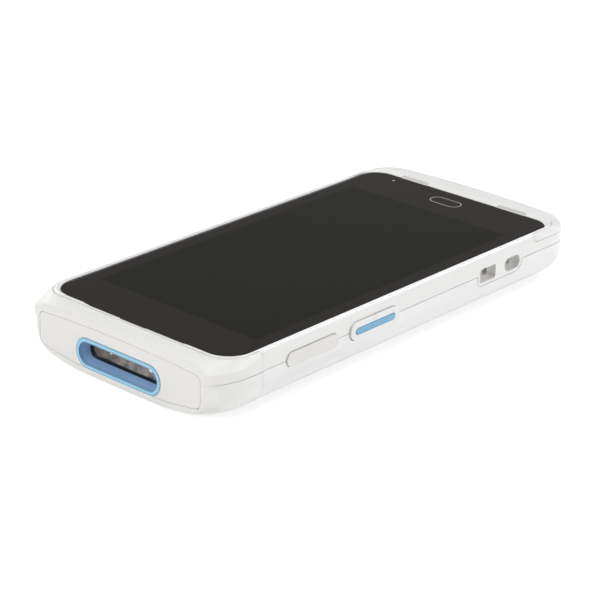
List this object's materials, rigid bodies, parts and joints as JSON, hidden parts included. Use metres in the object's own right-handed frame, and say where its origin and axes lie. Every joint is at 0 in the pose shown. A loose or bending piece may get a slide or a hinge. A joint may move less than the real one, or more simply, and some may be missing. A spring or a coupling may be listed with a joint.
{
  "type": "portable barcode data terminal",
  "caption": "Slab-shaped hand-held data terminal with a large touch glass, side keys, strap holes, a rear battery door and a scan window in its short end.",
  "frame": {"origin": "centre of the outline's box, on the underside that the device lies on", "axes": "+Z out of the display glass, +Y from the scan window towards the far end, +X towards the side with the volume key"},
  "size_m": [0.0786, 0.1615, 0.0183],
  "materials": {
    "white_housing": "satin",
    "rear_housing": "satin",
    "key_plastic": "satin",
    "blue_plastic": "satin",
    "scan_window": "gloss",
    "cover_glass": "gloss",
    "black_plastic": "matt",
    "bracket_steel": "satin",
    "gasket_foam": "matt",
    "chassis_alloy": "satin",
    "circuit_board": "satin",
    "mesh": "matt",
    "lens": "gloss",
    "flash_lens": "gloss",
    "contacts": "satin",
    "flex": "satin",
    "anchor_plastic": "satin",
    "screw_steel": "satin",
    "battery": "satin"
  },
  "bodies": {
    "housing": {"front_frame": "white_housing", "rear_housing": "rear_housing", "scanner_cap_upper": "white_housing", "scanner_cap_lower": "white_housing", "scan_face_plate": "white_housing", "scan_bezel": "blue_plastic", "scan_window": "scan_window", "scan_engine": "black_plastic", "scan_engine_bracket": "bracket_steel", "end_trim": "white_housing", "cover_glass": "cover_glass", "glass_gasket": "gasket_foam", "display_module": "black_plastic", "mid_chassis": "chassis_alloy", "main_board": "circuit_board", "board_shields": "bracket_steel", "earpiece": "black_plastic", "earpiece_mesh": "mesh", "end_slot_meshes": "mesh", "loudspeaker": "black_plastic", "speaker_mesh": "mesh", "vibration_motor": "bracket_steel", "camera_module": "black_plastic", "camera_ring": "bracket_steel", "camera_lens": "lens", "flash_lens": "flash_lens", "usb_connector": "bracket_steel", "dock_contacts": "contacts", "battery_connector": "black_plastic", "card_sockets": "bracket_steel", "left_key_flex": "flex", "right_key_flex": "flex", "left_strap_anchor": "anchor_plastic", "right_strap_anchor": "anchor_plastic", "housing_seal": "gasket_foam", "housing_screws": "screw_steel"},
    "volume_key": {"volume_key": "key_plastic"},
    "left_scan_key": {"left_scan_key": "key_plastic", "left_scan_insert": "blue_plastic"},
    "power_key": {"power_key": "key_plastic"},
    "right_scan_key": {"right_scan_key": "key_plastic", "right_scan_insert": "blue_plastic"},
    "battery": {"battery_pack": "battery"},
    "battery_door": {"battery_door": "rear_housing"}
  },
  "joints": [
    {"name": "volume_key_rock", "type": "hinge", "parent": "housing", "child": "volume_key", "pos_m": [0.0374, -0.0435, 0.01235], "axis": [0, 0, 1], "range_deg": [-1.2, 1.2], "stiffness_Nm_per_rad": 0.3},
    {"name": "left_scan_key_press", "type": "slide", "parent": "housing", "child": "left_scan_key", "axis": [-1, 0, 0], "range_m": [0, 0.0004], "stiffness_N_per_m": 1500},
    {"name": "power_key_press", "type": "slide", "parent": "housing", "child": "power_key", "axis": [1, 0, 0], "range_m": [0, 0.0004], "stiffness_N_per_m": 1500},
    {"name": "right_scan_key_press", "type": "slide", "parent": "housing", "child": "right_scan_key", "axis": [1, 0, 0], "range_m": [0, 0.0004], "stiffness_N_per_m": 1500},
    {"name": "battery_lift_out", "type": "slide", "parent": "housing", "child": "battery", "axis": [0, 0, -1], "range_m": [0, 0.012]},
    {"name": "battery_door_lift_off", "type": "slide", "parent": "battery", "child": "battery_door", "axis": [0, 0, -1], "range_m": [0, 0.02]}
  ]
}
